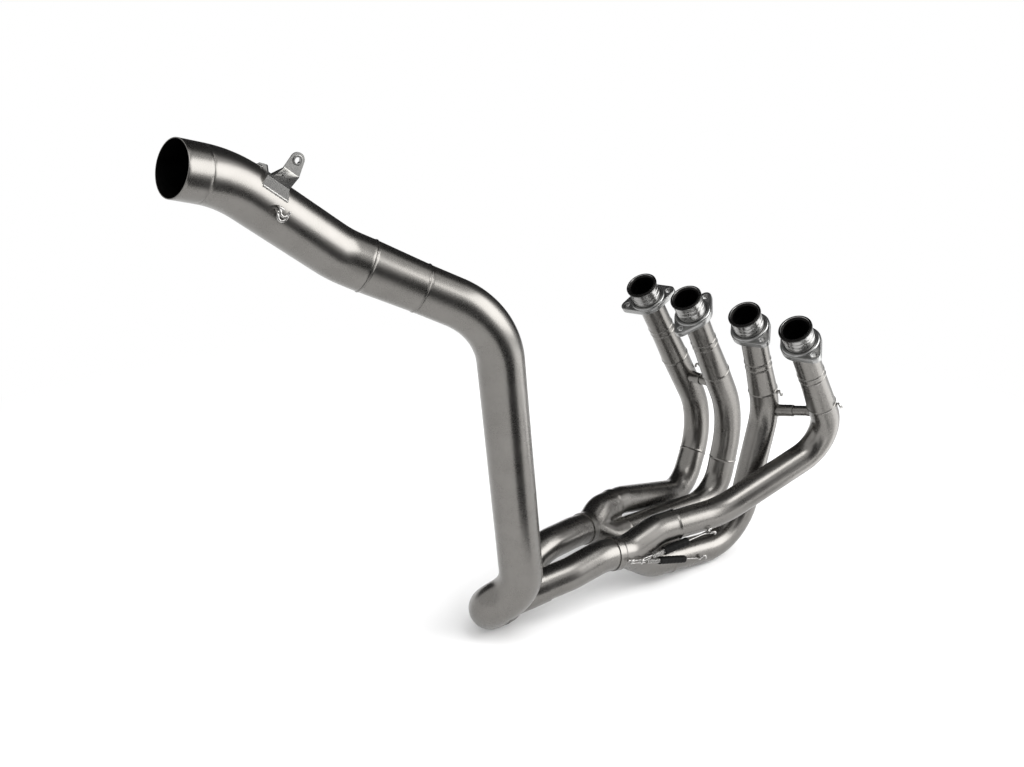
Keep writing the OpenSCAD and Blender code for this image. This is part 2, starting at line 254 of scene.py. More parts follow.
def arcCorners(profile, radius, steps=4):
    # rounds the corners of a closed (length, radius) profile with a quadratic curve between its two legs
    pts = np.asarray(profile, float)
    out = []
    for k in range(len(pts)):
        q, before, after = pts[k], pts[k - 1], pts[(k + 1) % len(pts)]
        la, lb = np.linalg.norm((before - q)[:2]), np.linalg.norm((after - q)[:2])
        cut = min(radius, 0.45 * la, 0.45 * lb)
        a, b = q + (before - q) * cut / la, q + (after - q) * cut / lb
        for f in np.linspace(0, 1, steps):
            row = (1 - f) ** 2 * a + 2 * f * (1 - f) * q + f * f * b
            row[2] = q[2]
            out.append(row)
    return np.array(out)


def feed(tree, socket, value):
    # a link from another node's socket, or a plain value
    if isinstance(value, bpy.types.NodeSocket):
        tree.links.new(value, socket)
    else:
        socket.default_value = value


def newNode(tree, kind, inputs, **settings):
    # a shader node with its settings, and its inputs fed by name or number
    node = tree.nodes.new("ShaderNode" + kind)
    for key, value in settings.items():
        setattr(node, key, value)
    for key, value in inputs.items():
        feed(tree, node.inputs[key], value)
    return node


def mathNode(tree, operation, a, b, clamp=False):
    return newNode(tree, "Math", {0: a, 1: b}, operation=operation, use_clamp=clamp).outputs[0]


def noiseNode(tree, vector, scale, detail, rough):
    inputs = {"Vector": vector, "Scale": scale, "Detail": detail, "Roughness": rough}
    return newNode(tree, "TexNoise", inputs).outputs["Fac"]


def mixColor(tree, factor, a, b):
    return newNode(tree, "Mix", {0: factor, 6: a, 7: b}, data_type="RGBA").outputs[2]


def newGroup(name, inputs, outputs):
    tree = bpy.data.node_groups.new(name, "ShaderNodeTree")
    for label, kind, value in inputs:
        made = tree.interface.new_socket(name=label, in_out="INPUT", socket_type=kind)
        if value is not None:
            made.default_value = value
    for label, kind in outputs:
        tree.interface.new_socket(name=label, in_out="OUTPUT", socket_type=kind)
    return tree, tree.nodes.new("NodeGroupInput"), tree.nodes.new("NodeGroupOutput")


def buildGrainGroup():
    # fine satin lines round the tube, and a cloudier unevenness
    tree, given, result = newGroup(
        "satinGrain",
        [("Vector", "NodeSocketVector", None), ("Stretch", "NodeSocketVector", (0.2, 0.2, 1.0)),
         ("Lines", "NodeSocketFloat", 900.0), ("Clouds", "NodeSocketFloat", 35.0)],
        [("Lines", "NodeSocketFloat"), ("Clouds", "NodeSocketFloat")])
    vector, stretch = given.outputs["Vector"], given.outputs["Stretch"]
    stretched = newNode(tree, "VectorMath", {0: vector, 1: stretch}, operation="MULTIPLY").outputs[0]
    feed(tree, result.inputs["Lines"], noiseNode(tree, stretched, given.outputs["Lines"], 4.0, 0.65))
    feed(tree, result.inputs["Clouds"], noiseNode(tree, vector, given.outputs["Clouds"], 5.0, 0.6))
    return tree


weldTint = {"straw": (0.30, 0.235, 0.165, 1), "strawShare": 0.55, "brown": (0.085, 0.065, 0.055, 1),
            "brownShare": 0.9, "wander": 120.0}


def buildHeatGroup():
    # the weld's colours: a brown line at the bead that fades through straw into the plain metal
    tree, given, result = newGroup(
        "weldTint",
        [("Color", "NodeSocketColor", (0.4, 0.4, 0.4, 1)), ("Heat", "NodeSocketFloat", 0.0),
         ("Vector", "NodeSocketVector", None)],
        [("Color", "NodeSocketColor")])
    wander = noiseNode(tree, given.outputs["Vector"], weldTint["wander"], 2.0, 0.5)
    mask = mathNode(tree, "MULTIPLY", given.outputs["Heat"], mathNode(tree, "ADD", wander, 0.45), clamp=True)
    strawShare = mathNode(tree, "MULTIPLY", mask, weldTint["strawShare"])
    brownShare = mathNode(tree, "MULTIPLY", mathNode(tree, "POWER", mask, 3.0), weldTint["brownShare"], clamp=True)
    straw = mixColor(tree, strawShare, given.outputs["Color"], weldTint["straw"])
    feed(tree, result.inputs["Color"], mixColor(tree, brownShare, straw, weldTint["brown"]))
    return tree


grainGroup = buildGrainGroup()
heatGroup = buildHeatGroup()


def vectorSource(tree, straight):
    # the straightened tube's own coordinates where the piece has them, else Object coordinates
    if straight:
        return newNode(tree, "Attribute", {}, attribute_name="straight").outputs["Vector"]
    return newNode(tree, "TexCoord", {}).outputs["Object"]


def newMaterial(name, plain):
    # a material with plain values on its shader's own sockets
    material = bpy.data.materials.new(name)
    material.use_nodes = True
    shader = material.node_tree.nodes["Principled BSDF"]
    for key, value in plain.items():
        shader.inputs[key].default_value = value
    return material, material.node_tree, shader


def grainOf(tree, vector, look):
    inputs = {"Vector": vector, "Stretch": look["stretch"], "Lines": look["lines"], "Clouds": look["clouds"]}
    grain = newNode(tree, "Group", inputs, node_tree=grainGroup)
    return grain.outputs["Lines"], grain.outputs["Clouds"]


def dress(tree, shader, color, rough, height, strength, depth):
    # colour and roughness into the shader, and a bump from a height into its normal
    bump = newNode(tree, "Bump", {"Strength": strength, "Distance": depth, "Height": height})
    feed(tree, shader.inputs["Base Color"], color)
    feed(tree, shader.inputs["Roughness"], rough)
    feed(tree, shader.inputs["Normal"], bump.outputs["Normal"])


metalBumpDepth = 0.0004


def satinMetal(name, look, straight=True):
    # metal whose roughness, colour and bump all come from the grain group, tinted where welding heated it
    material, tree, shader = newMaterial(name, {"Metallic": 1.0})
    vector = vectorSource(tree, straight)
    lines, clouds = grainOf(tree, vector, look)
    streak = mathNode(tree, "MULTIPLY", lines, look["streak"], clamp=True)
    shade = mixColor(tree, streak, mixColor(tree, clouds, look["dark"], look["light"]), look["streakColor"])
    heat = newNode(tree, "Attribute", {}, attribute_name="heat").outputs["Fac"]
    tint = newNode(tree, "Group", {"Color": shade, "Heat": heat, "Vector": vector}, node_tree=heatGroup)
    rough = mathNode(tree, "ADD", mathNode(tree, "MULTIPLY", clouds, look["roughSpread"]),
                     mathNode(tree, "MULTIPLY", lines, look["roughSpread"] * 0.6))
    dress(tree, shader, tint.outputs["Color"], mathNode(tree, "ADD", rough, look["rough"]), lines,
          look["bump"], metalBumpDepth)
    return material


tubeLook = {"stretch": (0.2, 0.2, 1.0), "dark": (0.132, 0.126, 0.118, 1), "light": (0.212, 0.204, 0.192, 1),
            "streak": 0.2, "streakColor": (0.27, 0.262, 0.25, 1), "lines": 1500.0, "clouds": 28.0,
            "rough": 0.2, "roughSpread": 0.1, "bump": 0.04}
machinedLook = {"stretch": (0.02, 0.02, 1.0), "dark": (0.27, 0.267, 0.26, 1), "light": (0.33, 0.327, 0.32, 1),
                "streak": 0.15, "streakColor": (0.42, 0.417, 0.41, 1), "lines": 900.0, "clouds": 12.0,
                "rough": 0.19, "roughSpread": 0.04, "bump": 0.01}
flangeLook = {"stretch": (1.0, 1.0, 1.0), "dark": (0.27, 0.27, 0.267, 1), "light": (0.34, 0.34, 0.335, 1),
              "streak": 0.15, "streakColor": (0.46, 0.46, 0.45, 1), "lines": 1600.0, "clouds": 30.0,
              "rough": 0.26, "roughSpread": 0.08, "bump": 0.03}
bracketLook = {"stretch": (1.0, 1.0, 1.0), "dark": (0.36, 0.355, 0.345, 1), "light": (0.46, 0.455, 0.44, 1),
               "streak": 0.15, "streakColor": (0.54, 0.53, 0.51, 1), "lines": 1600.0, "clouds": 60.0,
               "rough": 0.17, "roughSpread": 0.1, "bump": 0.03}
# painted shade: near-black metal for the inner walls of pipes, bores and collectors and for the flanges' pin holes,
# where the steel lies in shade, and a painted dark reflection on the spigots' lips
paintedShadeLook = {"stretch": (0.3, 0.3, 1.0), "dark": (0.006, 0.006, 0.006, 1), "light": (0.02, 0.019, 0.018, 1),
            "streak": 0.2, "streakColor": (0.03, 0.029, 0.028, 1), "lines": 500.0, "clouds": 60.0,
            "rough": 0.32, "roughSpread": 0.2, "bump": 0.2}
wireLook = {"stretch": (0.3, 0.3, 1.0), "dark": (0.30, 0.295, 0.285, 1), "light": (0.46, 0.45, 0.44, 1),
            "streak": 0.2, "streakColor": (0.55, 0.54, 0.52, 1), "lines": 1500.0, "clouds": 200.0,
            "rough": 0.18, "roughSpread": 0.12, "bump": 0.08}

tubeMetal = satinMetal("brushedTube", tubeLook)
mergeMetal = satinMetal("brushedCollector", tubeLook, straight=False)
machinedMetal = satinMetal("turnedSpigot", machinedLook)
flangeMetal = satinMetal("satinFlange", flangeLook, straight=False)
bracketMetal = satinMetal("satinBracket", bracketLook, straight=False)
bushMetal = satinMetal("turnedBush", machinedLook)
# the painted-shade materials, one for tubes and one for collectors
paintedShadeMetal = satinMetal("boreAndLipShade", paintedShadeLook)
paintedShadeMerge = satinMetal("collectorBoreShade", paintedShadeLook, straight=False)
wireMetal = satinMetal("drawnWire", wireLook)
print("materials built")


def finishPiece(made, materials, nodes=(), body="header"):
    # the piece's materials, the body it rides on and the CAD nodes it stands for
    for m in materials:
        made.data.materials.append(m)
    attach(made, body)
    if nodes:
        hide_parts(*nodes)


def buildTube(name, path, outer, wall, node, rings=(), hot=(), around=112):
    # a pipe with an outer radius for each length, welded at its rings and tinted at its hot places too; its inner
    # wall takes the near-black painted shade
    profile = wallProfile(path["s"][-1], outer, wall, rings)
    made = latheAlong(name, path, profile, around, beadRelief(rings), [*rings, *hot])
    # slot 1, the inner wall, is painted shade
    finishPiece(made, [tubeMetal, paintedShadeMetal], [node])


primaryTube = {
    "portX": (-137.5, -52.5, 52.5, 137.5), "portHeight": 385.0, "slope": 56.0, "neckAt": 46.0, "neckRadius": 60.0,
    "seatAt": 20.0, "narrow": 38.0, "wide": 42.0, "wall": 1.2, "ringAt": (91.0, 101.0),
    "coneEnd": (162.0, 162.0, 146.0, 162.0), "seams": ((362.0,), (331.0,), (), ()),
    "below": (((0, 171.9, -265.1), (-117, 98, 12), (-95, -80, 67), (-90, -118, 70.5)),
              ((0, 134, -224), (-56, 107, 16.2), (-65.5, -55, 28), (-68, -116, 33.5)),
              ((-2.5, 76.5, -166), (46, 24, 13.3), (31, -113, 31.5), (29, -132, 34)),
              ((-3.5, 131, -205), (68, -47, 96), (44, -124, 93.6), (40.5, -136, 93.2))),
    "radii": ((98, 58, 74), (150, 59, 120), (90, 80, 120), (54, 138, 60)),
}
slopeAngle = math.radians(primaryTube["slope"])
mouthDir = np.array([0, -math.cos(slopeAngle), math.sin(slopeAngle)])
ports = [np.array([x, 0, primaryTube["portHeight"]]) for x in primaryTube["portX"]]


def primaryCorners(i):
    below = primaryTube["below"][i]
    return [ports[i] - primaryTube["seatAt"] * mouthDir, ports[i] - primaryTube["neckAt"] * mouthDir,
            ports[i] + np.array(below[0])] + [np.array(c, float) for c in below[1:]]


primaryPaths = [bentPath(primaryCorners(i), (primaryTube["neckRadius"],) + primaryTube["radii"][i])
                for i in range(4)]


def buildPrimary(i):
    # narrow above the second ring, a straight cone to the third, wide below it
    seat = primaryTube["seatAt"]
    start, end = primaryTube["ringAt"][1] - seat, primaryTube["coneEnd"][i] - seat
    rings = [g - seat for g in primaryTube["ringAt"]] + [end] + [g - seat for g in primaryTube["seams"][i]]
    narrow, wide = primaryTube["narrow"] / 2, primaryTube["wide"] / 2
    buildTube("primaryTube%d" % (i + 1), primaryPaths[i],
              lambda s: narrow + (wide - narrow) * np.clip((s - start) / (end - start), 0, 1),
              primaryTube["wall"], "primary_%d" % (i + 1), rings, around=96)


for i in range(4):
    buildPrimary(i)
print("primaries built")

spigot = {"across": 44.0, "lip": 47.0, "length": 34.0, "play": 0.05, "round": 0.5, "axis": 60.0}


def portPath(i):
    return straightPath(ports[i], ports[i] - spigot["axis"] * mouthDir)


def buildSpigot(i):
    # a flared lip, a plain stretch with two shallow grooves, and a bore that widens over the primary's end; the bore
    # takes the near-black painted shade, and the lip's rim and front face the same near-black as a painted dark
    # reflection
    r, lip, end = spigot["across"] / 2, spigot["lip"] / 2, spigot["length"]
    seat, bore = primaryTube["narrow"] / 2 + spigot["play"], primaryTube["narrow"] / 2 - primaryTube["wall"]
    depth = primaryTube["seatAt"]
    stop = depth - spigot["play"]
    # rows marked 1 take the painted shade: the bore, and the lip's rim and face as a painted dark reflection
    profile = [(depth, seat, 1), (end, seat, 0), (end, r - 0.8, 0), (end - 0.8, r, 0),
               (depth, r, 0), (depth - 0.6, r - 0.7, 0), (depth - 1.6, r - 0.7, 0), (depth - 2.2, r, 0),
               (12.6, r, 0), (12.2, r - 0.35, 0), (11.6, r - 0.35, 0), (11.2, r, 0), (5.6, r, 0),
               (3.4, lip, 0), (1.8, lip, 1), (0.9, lip, 1), (0, lip - 0.9, 1), (0, bore + 2.8, 0),
               (3, bore, 1), (stop, bore, 1), (stop, seat, 1)]
    made = latheAlong("spigot%d" % (i + 1), portPath(i), arcCorners(profile, spigot["round"]), 112, sharp=40)
    finishPiece(made, [machinedMetal, paintedShadeMetal], ["spigot_%d" % (i + 1)])


flange = {"pitch": 66.0, "hole": 4.2, "ear": 9.5, "disc": 28.5, "bore": 24.5, "thick": 8.0, "over": 5.0,
          "play": 0.3, "edge": 0.7, "turns": (43.5, 90.0, -24.5, -25.0), "drops": (0.3, 5.3, 0.3, 0.3),
          "pin": 1.2, "pinDeep": 0.4, "pinAt": 24.3, "pinTurn": 0.63}


def circlePoints(cx, cy, r, n, start=0.0, sweep=2 * np.pi):
    # n points of a circle or an arc of it: centre + r (cos a, sin a)
    a = start + np.arange(n) * sweep / n
    return np.column_stack([cx + r * np.cos(a), cy + r * np.sin(a)])


def flangeOutline():
    # disc and two ears joined by their common tangents: arcs of the disc between arcs of the ears
    far, ear, disc = flange["pitch"] / 2, flange["ear"], flange["disc"]
    tangent = math.acos((disc - ear) / far)
    earSweep, discSweep = 2 * tangent * 33 / 32, (np.pi - 2 * tangent) * 41 / 40
    right = circlePoints(far, 0, ear, 33, -tangent, earSweep)
    top = circlePoints(0, 0, disc, 41, tangent, discSweep)
    left = circlePoints(-far, 0, ear, 33, np.pi - tangent, earSweep)
    bottom = circlePoints(0, 0, disc, 41, np.pi + tangent, discSweep)
    return np.vstack([right, top, left, bottom])


def flatPlate(outline, holes, thick, edge):
    # a flat curve filled between outline and holes, extruded to the thickness with a rounded edge
    curve = bpy.data.curves.new("plateCurve", "CURVE")
    curve.dimensions = "2D"
    curve.fill_mode = "BOTH"
    for ring in [outline] + holes:
        spline = curve.splines.new("POLY")
        spline.points.add(len(ring) - 1)
        spline.points.foreach_set("co", np.column_stack([ring, np.zeros(len(ring)), np.ones(len(ring))]).ravel())
        spline.use_cyclic_u = True
    curve.extrude = thick / 2 - edge
    curve.bevel_depth = edge
    curve.bevel_resolution = 2
    curve.offset = -edge
    holder = linkObject("plateCurve", curve)
    bpy.context.view_layer.update()
    mesh = bpy.data.meshes.new_from_object(holder.evaluated_get(bpy.context.evaluated_depsgraph_get()))
    bpy.data.objects.remove(holder)
    work = bmesh.new()
    work.from_mesh(mesh)
    bmesh.ops.remove_doubles(work, verts=work.verts, dist=0.01)
    bmesh.ops.recalc_face_normals(work, faces=work.faces)
    points = np.array([v.co[:] for v in work.verts])
    faces = [[v.index for v in f.verts] for f in work.faces]
    work.free()
    return points, faces


def onFlange(i, points):
    # local points turned with the flange (x cos - y sin, x sin + y cos), then set in the axes (x, z cross x, z)
    # of its port, z down the tube
    a = math.radians(-flange["turns"][i])
    turn = np.array([[math.cos(a), math.sin(a), 0], [-math.sin(a), math.cos(a), 0], [0, 0, 1]])
    x, z = np.array([1.0, 0, 0]), -mouthDir
    return ports[i] + points @ turn @ np.array([x, np.cross(z, x), z])


def join(objects):
    # one object from several, the first one's name kept
    with bpy.context.temp_override(active_object=objects[0], selected_editable_objects=objects,
                                   selected_objects=objects):
        bpy.ops.object.join()
    return objects[0]


def buildFlange(i):
    # a two-eared plate, the hub in its middle, and a small pin hole on each side of the hub's face: a shallow dish in
    # near-black, painted shade for the depth of the hole
    top = spigot["length"] + flange["drops"][i] - flange["over"]
    disc, thick, far = flange["disc"], flange["thick"], flange["pitch"] / 2
    holes = [circlePoints(0, 0, flange["bore"], 96)]
    holes += [circlePoints(x, 0, flange["hole"], 40) for x in (far, -far)]
    points, faces = flatPlate(flangeOutline(), holes, thick, flange["edge"])
    points[:, 2] += top + thick / 2
    plate = makeMesh("flange%d" % (i + 1), onFlange(i, points), faces)
    plate.data.set_sharp_from_angle(angle=math.radians(35))
    outer, inner = spigot["across"] / 2 + flange["play"], primaryTube["narrow"] / 2 + flange["play"]
    face, end = top - 2, top + thick + 3
    profile = [(face, outer, 0), (face, disc - 2.5, 0), (top, disc - 1.5, 0), (top + thick, disc - 1.5, 0),
               (end, disc - 3.5, 0), (end, inner, 0), (top + 5, inner, 0), (top + 5, outer, 0)]
    parts = [plate, latheAlong("hub", portPath(i), arcCorners(profile, flange["edge"]), sharp=40)]
    deep, r = flange["pinDeep"], flange["pin"]
    for reach in (flange["pinAt"], -flange["pinAt"]):
        pin = (reach * math.cos(flange["pinTurn"]), reach * math.sin(flange["pinTurn"]), face - 0.03)
        foot = onFlange(i, np.array([pin]))[0]
        # the dish is all near-black: painted shade
        dish = [(0, 0.05, 1), (0, r, 1), (deep, r, 1), (deep, 0.05, 1)]
        parts.append(latheAlong("pin", straightPath(foot, foot - 4 * mouthDir), dish, around=24))
    finishPiece(join(parts), [flangeMetal, paintedShadeMetal], ["flange_%d" % (i + 1)],
                "loose_flange_%d" % (i + 1))


for i in range(4):
    buildSpigot(i)
    buildFlange(i)
print("spigots and flanges built")

# Collectors: two legs that melt into one outlet
collector = {"leg": 44.6, "collar": 46.8, "slip": 14.0, "voxel": 1.4, "melt": 5.0, "wall": 1.3, "over": 9.0,
             "lip": 0.75, "lipReach": 2.6, "past": 4.0, "ramp": (13.0, 2.0), "socket": 1.3, "rearCollar": 57.9,
             "rearRamp": (22.0, 18.0), "rounds": 6, "seamHeat": 0.8}
secondaryTube = {"across": 45.0, "wall": 1.2}
nearOut, nearDir = np.array([22.0, -233, 79]), unit((-3, -20, 3))
farOut, farDir = np.array([-75.0, -187, 64]), unit((3, -20, 4))
nearRun = [nearOut, nearOut + 17 * nearDir, np.array([10.0, -301, 71]), np.array([-7.0, -352, 62])]
farRun = [farOut, farOut + 24 * farDir, np.array([-61.0, -276, 77]), np.array([-56.0, -320, 68])]
linkIn = np.array([-38.0, -394, 39.5])
elbowCorner = np.array([-38.0, -439.5, 40.5])
rearDir = unit(elbowCorner - linkIn)


def legIn(i, along=-collector["slip"]):
    # a point on the axis of the primary's end: where its leg begins, or further along, where the leg bends
    c = primaryCorners(i)
    return c[5] + along * unit(c[5] - c[4])


fieldBlock = 20000          # points measured at a time, which keeps the table of distances small


def legField(points, path, radius):
    # signed distance from a leg's wall and the direction away from its axis, by the nearest axis sample
    p, t, s = path["p"][::2], path["t"][::2], path["s"][::2]
    nearest = np.concatenate([np.argmin(((points[k:k + fieldBlock, None, :] - p[None]) ** 2).sum(-1), axis=1)
                              for k in range(0, len(points), fieldBlock)])
    step = ((points - p[nearest]) * t[nearest]).sum(-1)
    away = points - p[nearest] - step[:, None] * t[nearest]
    gap = np.linalg.norm(away, axis=1)
    return gap - radius(s[nearest] + step), away / np.maximum(gap, 1e-6)[:, None]


def meltedLegs(points, legs):
    # smooth minimum of the two distances; it melts only where the two walls face different ways
    (da, ga), (db, gb) = [legField(points, path, radius) for path, radius in legs]
    k = collector["melt"] * np.clip((1 - (ga * gb).sum(-1)) * 1.5, 0.02, 1)
    share = np.clip(0.5 + 0.5 * (db - da) / k, 0, 1)
    value = share * da + (1 - share) * db - k * share * (1 - share)
    slope = share[:, None] * ga + (1 - share)[:, None] * gb
    return value, slope / np.maximum(np.linalg.norm(slope, axis=1), 0.2)[:, None]


def legSkin(legs, rows=60, around=40):
    # the legs swept as closed rods and remeshed as one skin, its points moved onto the melted field
    solids = []
    for path, radius in legs:
        s = np.linspace(-collector["over"], path["s"][-1] + collector["over"], rows)
        points, _ = circleAlong(path, s, np.repeat(radius(s)[:, None], around, axis=1))
        last = (rows - 1) * around
        faces = gridFaces(rows, around, False).tolist()
        faces += [list(range(around)), list(range(last + around - 1, last - 1, -1))]
        solids.append(makeMesh("leg", points, faces))
    joined = join(solids)
    work = bmesh.new()
    work.from_mesh(joined.data)
    bmesh.ops.recalc_face_normals(work, faces=work.faces)
    work.to_mesh(joined.data)
    work.free()
    remesh = joined.modifiers.new("skin", "REMESH")
    remesh.mode = "VOXEL"
    remesh.voxel_size = collector["voxel"] / 1000
    bpy.context.view_layer.update()
    mesh = bpy.data.meshes.new_from_object(joined.evaluated_get(bpy.context.evaluated_depsgraph_get()))
    bpy.data.objects.remove(joined)
    points = np.empty(len(mesh.vertices) * 3)
    mesh.vertices.foreach_get("co", points)
    points = (points.reshape(-1, 3) * 1000 - np.array(restPose["shift"])) @ leanTurn
    faces = [list(f.vertices) for f in mesh.polygons]
    bpy.data.meshes.remove(mesh)
    for _ in range(collector["rounds"]):
        value, slope = meltedLegs(points, legs)
        points = points - np.clip(value, -2, 2)[:, None] * slope
    return points, faces


def buildCollector(name, legs, cuts, hot, node):
    # the skin of the legs with its ends cut off, an inner wall one thickness down the field, and rims between; the
    # inner wall takes the near-black painted shade
    points, faces = legSkin(legs)
    work = bmesh.new()
    for p in points:
        work.verts.new(p)
    work.verts.ensure_lookup_table()
    for f in faces:
        work.faces.new([work.verts[k] for k in f])
    for origin, normal, reach in cuts:
        near = [f for f in work.faces if np.linalg.norm(np.array(f.calc_center_median()[:]) - origin) < reach]
        edges, corners = ([x for f in near for x in getattr(f, kind)] for kind in ("edges", "verts"))
        geom = list(dict.fromkeys(edges + corners + near))          # each once, in the same order in every run
        bmesh.ops.bisect_plane(work, geom=geom, plane_co=origin, plane_no=normal, clear_outer=True)
    work.verts.index_update()
    points = np.array([v.co[:] for v in work.verts])
    faces = [[v.index for v in f.verts] for f in work.faces]
    border = [(e.link_loops[0].vert.index, e.link_loops[0].link_loop_next.vert.index)
              for e in work.edges if e.is_boundary]
    work.free()
    _, slope = meltedLegs(points, legs)
    n = len(points)
    backs = [[k + n for k in reversed(f)] for f in faces]
    rims = [[b, a, a + n, b + n] for a, b in border]
    heat = np.zeros(n)
    for origin, normal, reach in hot:
        fade = np.exp(-np.abs((points - origin) @ normal) / weldRing["heatReach"])
        heat = np.maximum(heat, fade * (np.linalg.norm(points - origin, axis=1) < reach))
    (da, ga), (db, gb) = [legField(points, path, radius) for path, radius in legs]
    seam = collector["seamHeat"] * np.exp(-np.abs(da - db) / 1.2)          # the weld in the valley between the legs
    heat = np.maximum(heat, seam * ((ga * gb).sum(-1) < 0.6))
    # the inner wall's faces take slot 1, the painted shade
    made = makeMesh(name, np.vstack([points, points - collector["wall"] * slope]), faces + backs + rims,
                    [0] * len(faces) + [1] * len(backs) + [0] * len(rims), None, np.r_[heat, 0 * heat])
    made.data.set_sharp_from_angle(angle=math.radians(40))
    finishPiece(made, [mergeMetal, paintedShadeMerge], [node])


def eased(s, start, run, rise):
    # smoothstep: rise times t squared times 3 less 2 t, where t goes from 0 at the start to 1 after the run
    t = np.clip((s - start) / run, 0, 1)
    return rise * t ** 2 * (3 - 2 * t)


def withLip(path):
    # the leg's own radius, plus lip times e to minus the square of the length over its reach, and over the last
    # stretch eased out to the collar's
    leg, collar = collector["leg"] / 2, collector["collar"] / 2
    start, run = path["s"][-1] + collector["past"] - collector["ramp"][0], collector["ramp"][1]
    return path, lambda s: (leg + collector["lip"] * np.exp(-(np.clip(s, 0, None) / collector["lipReach"]) ** 2)
                            + eased(s, start, run, collar - leg))


def withSocket(path):
    # from the secondary's socket to the link pipe's collar over the last stretch
    socket, collar = secondaryTube["across"] / 2 + collector["socket"], collector["rearCollar"] / 2
    start, run = path["s"][-1] - collector["rearRamp"][0], collector["rearRamp"][1]
    return path, lambda s: socket + eased(s, start, run, collar - socket)


def ringCut(point, normal, reach=30.0):
    return (np.asarray(point, float), unit(normal), reach)


def heading(leg):
    return leg[0]["t"][0]


nearA, nearB = nearOut - 4 * nearDir + (0, 0, 0.35), nearOut - 4 * nearDir - (0, 0, 0.35)
nearLegs = [withLip(bentPath([legIn(3), legIn(3, 15), nearA - 26 * nearDir, nearA], (50, 45))),
            withLip(bentPath([legIn(2), legIn(2, 20), nearB - 22 * nearDir, nearB], (60, 36)))]
buildCollector("nearCollector", nearLegs,
               [ringCut(legIn(3), -heading(nearLegs[0])), ringCut(legIn(2), -heading(nearLegs[1])),
                ringCut(nearOut, nearDir, 40)],
               [(nearOut, nearDir, 40), (nearOut - 12 * nearDir, nearDir, 40),
                (legIn(3), heading(nearLegs[0]), 26), (legIn(2), heading(nearLegs[1]), 26)], "collector_near")

farA, farB = farOut - 4 * farDir + (-0.2, 0, 0.35), farOut - 4 * farDir + (0.2, 0, -0.35)
farLegs = [withLip(bentPath([legIn(0), legIn(0, 18), farA - 18 * farDir, farA], (40, 36))),
           withLip(bentPath([legIn(1), legIn(1, 18), farB - 16 * farDir, farB], (40, 30)))]
farStart = (legIn(0) + legIn(1)) / 2
buildCollector("farCollector", farLegs,
               [ringCut(farStart, -unit(heading(farLegs[0]) + heading(farLegs[1])), 52), ringCut(farOut, farDir, 40)],
               [(farOut, farDir, 40), (farOut - 12 * farDir, farDir, 40), (farStart, heading(farLegs[0]), 48)],
               "collector_far")

rearA, rearB = linkIn - 6 * rearDir + (0.4, 0, 0.2), linkIn - 6 * rearDir - (0.4, 0, 0.2)
rearMouths = [nearRun[3] + (3.9, 11.5, 2.1), farRun[3] + (-1.4, 12.2, 2.5)]
rearLegs = [withSocket(bentPath([rearMouths[0], nearRun[3] + (-4, -12, -3), rearA - 14 * rearDir, rearA], (24, 24))),
            withSocket(bentPath([rearMouths[1], farRun[3] + (1.5, -13, -3), rearB - 16 * rearDir, rearB], (30, 30)))]
buildCollector("rearCollector", rearLegs,
               [ringCut(mouth, -heading(leg), 31) for mouth, leg in zip(rearMouths, rearLegs)]
               + [ringCut(linkIn, rearDir, 42)],
               [(linkIn, rearDir, 40)], "collector_rear")
print("collectors built")


def buildPipe(name, corners, radii, across, wall, node, hot=()):
    buildTube(name, bentPath(corners, radii), lambda s: across / 2 + 0 * s, wall, node, hot=hot)


for name, run, radii, node in (("nearSecondary", nearRun, (64, 78), "secondary_near"),
                               ("farSecondary", farRun, (67, 80), "secondary_far")):
    buildPipe(name, run, radii, secondaryTube["across"], secondaryTube["wall"], node, hot=(0.01,))

linkPipe = {"lower": 57.0, "upper": 61.0, "wall": 1.2, "coneAlong": 97.5, "coneLength": 70.0, "coneRing": 1.4,
            "outletLength": 60.0, "sleeveAt": 31.0}
knee, shoulder, crook = np.array([43.5, -469, 486]), np.array([-39.0, -625, 577]), np.array([-58.0, -748, 677])
coneDir = unit(shoulder - knee)
coneA = knee + linkPipe["coneAlong"] * coneDir
coneB = coneA + linkPipe["coneLength"] * coneDir
outletDir = unit((0, -55, 18))
outletEnd = crook + linkPipe["outletLength"] * outletDir
seamAt = crook + linkPipe["sleeveAt"] * outletDir

buildPipe("linkLower", [linkIn, elbowCorner, (17, -400, 92), knee, coneA], (29, 60, 104),
          linkPipe["lower"], linkPipe["wall"], "link_lower")


def coneRadius(s):
    # straight cone between the link pipe's two weld rings
    widening = (linkPipe["upper"] - linkPipe["lower"]) / 2
    return linkPipe["lower"] / 2 + widening * np.clip(s / linkPipe["coneLength"], 0, 1)


buildTube("linkCone", straightPath(coneA, coneB), coneRadius, linkPipe["wall"], "link_cone",
          [linkPipe["coneRing"], linkPipe["coneLength"] - linkPipe["coneRing"]])
buildPipe("linkUpper", [coneB, shoulder, crook, seamAt], (86, 150), linkPipe["upper"], linkPipe["wall"], "link_upper")
buildPipe("outletSleeve", [seamAt, (seamAt + outletEnd) / 2, outletEnd], (1,), linkPipe["upper"],
          linkPipe["wall"], "outlet_sleeve")
print("link pipe built")

balanceTube = {"stub": 15.0, "sleeve": 17.6, "wall": 1.2, "sleeveShare": 0.5, "stubShare": 0.62,
               "along": {0: 208.0, 1: 195.0, 3: 181.0}, "bendShare": 0.55, "sunk": 2.5, "fillet": 1.9}


def crossPoint(i):
    # where a balance tube meets a primary's axis: on the straight below the neck, or on the third tube's bend,
    # at start + r sin(a) along + r (1 - cos(a)) inward
    c = primaryCorners(i)
    u = unit(c[2] - c[1])
    if i in balanceTube["along"]:
        return c[1] + (balanceTube["along"][i] - primaryTube["neckAt"]) * u
    r, w = primaryTube["radii"][i][0], unit(c[3] - c[2])
    angle = math.acos(float(u @ w))
    a = balanceTube["bendShare"] * angle
    start = c[2] - r * math.tan(angle / 2) * u
    return start + r * math.sin(a) * u + r * (1 - math.cos(a)) * unit(w - (w @ u) * u)


crossings = [crossPoint(i) for i in range(4)]


